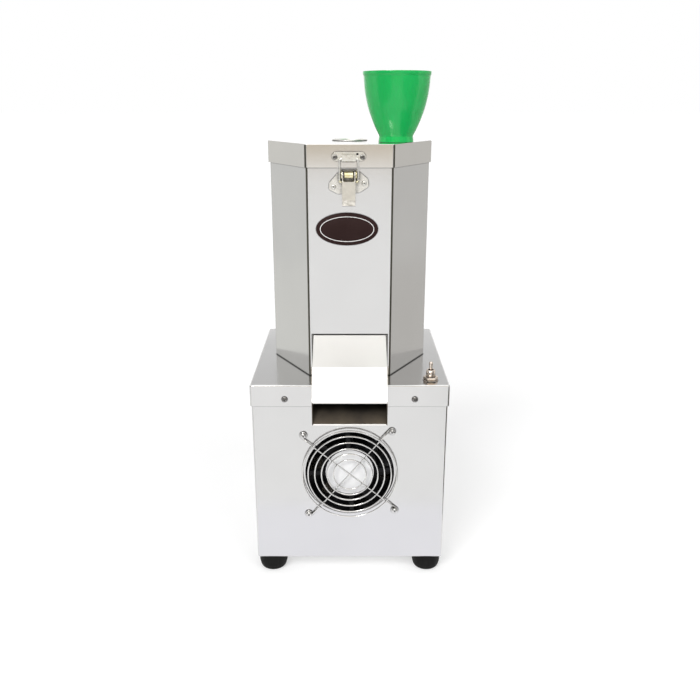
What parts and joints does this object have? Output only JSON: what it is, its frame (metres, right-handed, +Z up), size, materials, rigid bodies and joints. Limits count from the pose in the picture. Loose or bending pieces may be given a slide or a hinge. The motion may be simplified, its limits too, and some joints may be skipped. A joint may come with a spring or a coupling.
{
  "type": "garlic peeling machine",
  "caption": "Countertop garlic peeler: hexagonal stainless tower with latched hinged lid, front chute, square fan-cooled cabinet, rubber feet and a green measuring cup.",
  "frame": {"origin": "on the table, under the centre of the machine's bounding box", "axes": "+Z up, front with fan and chute towards -Y, +X to the right seen from the front"},
  "size_m": [0.233, 0.2838, 0.5967],
  "materials": {
    "black_plastic": "moulded black plastic",
    "black_rubber": "moulded black rubber",
    "brown_plate": "dark brown enamelled plate",
    "cast": "painted cast metal",
    "chrome": "bright plated steel",
    "food_rubber": "food grade rubber",
    "green_plastic": "glossy green plastic",
    "stainless": "polished stainless sheet",
    "steel": "plain steel",
    "white_paper": "white film",
    "zinc": "yellow passivated zinc plate"
  },
  "bodies": {
    "cabinet": {"base_shell": "stainless", "base_cover": "stainless", "cover_screw_1": "chrome", "cover_screw_2": "chrome", "cover_screw_3": "chrome", "cover_screw_4": "chrome", "foot_1": "black_rubber", "foot_2": "black_rubber", "foot_3": "black_rubber", "foot_4": "black_rubber", "fan_frame": "cast", "fan_label": "white_paper", "finger_guard": "chrome", "fan_screw_1": "chrome", "fan_screw_2": "chrome", "fan_screw_3": "chrome", "fan_screw_4": "chrome", "motor_housing": "cast", "motor_end_cap": "cast", "motor_bolt_1": "steel", "motor_bolt_2": "steel", "motor_bolt_3": "steel", "motor_bolt_4": "steel", "motor_capacitor": "white_paper", "capacitor_clip": "steel", "gland_body": "black_plastic", "gland_dome_nut": "black_plastic", "gland_locknut": "black_plastic", "switch_body": "black_plastic", "switch_washer": "chrome", "switch_nut": "chrome", "tower_shell": "stainless", "chamber_floor": "stainless", "shaft_seal": "black_rubber", "discharge_chute": "stainless", "hinge_leaf_tower": "stainless", "hinge_pin": "steel", "latch_base": "zinc", "base_rivet_1": "steel", "base_rivet_2": "steel", "latch_pivot_pin": "steel", "badge_plate": "brown_plate"},
    "fan": {"fan_rotor": "black_plastic"},
    "rotor": {"motor_shaft": "steel", "peeling_disc": "stainless", "peeling_finger_1": "food_rubber", "peeling_finger_2": "food_rubber", "peeling_finger_3": "food_rubber", "peeling_finger_4": "food_rubber", "rotor_hub_nut": "chrome"},
    "lid": {"lid": "stainless", "feed_port_ring": "stainless", "hinge_leaf_lid": "stainless", "latch_strike": "stainless", "strike_rivet_1": "steel", "strike_rivet_2": "steel"},
    "latch_handle": {"latch_lever": "stainless"},
    "latch_loop": {"latch_bail": "chrome"},
    "toggle": {"switch_lever": "chrome"},
    "cup": {"feed_cup": "green_plastic"}
  },
  "joints": [
    {"name": "lid_hinge", "type": "hinge", "parent": "cabinet", "child": "lid", "pos_m": [0, 0.10189, 0.4987], "axis": [-1, 0, 0], "range_deg": [0, 110]},
    {"name": "handle_pivot", "type": "hinge", "parent": "cabinet", "child": "latch_handle", "pos_m": [-0.001, -0.07824, 0.4882], "axis": [-1, 0, 0], "range_deg": [0, 90]},
    {"name": "loop_pivot", "type": "hinge", "parent": "latch_handle", "child": "latch_loop", "pos_m": [-0.001, -0.07824, 0.481], "axis": [-1, 0, 0], "range_deg": [-67.5, 0]},
    {"name": "fan_spin", "type": "hinge", "parent": "cabinet", "child": "fan", "pos_m": [0, -0.10265, 0.139], "axis": [0, -1, 0], "continuous": true},
    {"name": "rotor_spin", "type": "hinge", "parent": "cabinet", "child": "rotor", "pos_m": [0, 0.01235, 0.261], "axis": [0, 0, 1], "continuous": true},
    {"name": "switch_toggle", "type": "hinge", "parent": "cabinet", "child": "toggle", "pos_m": [0.0954, -0.08605, 0.2622], "axis": [1, 0, 0], "range_deg": [-12, 12]},
    {"name": "cup_lift", "type": "slide", "parent": "lid", "child": "cup", "axis": [0, 0, 1], "range_m": [0, 0.08]}
  ],
  "couplings": [
    {"joint": "loop_pivot", "follows": "handle_pivot", "ratio": -0.75}
  ]
}
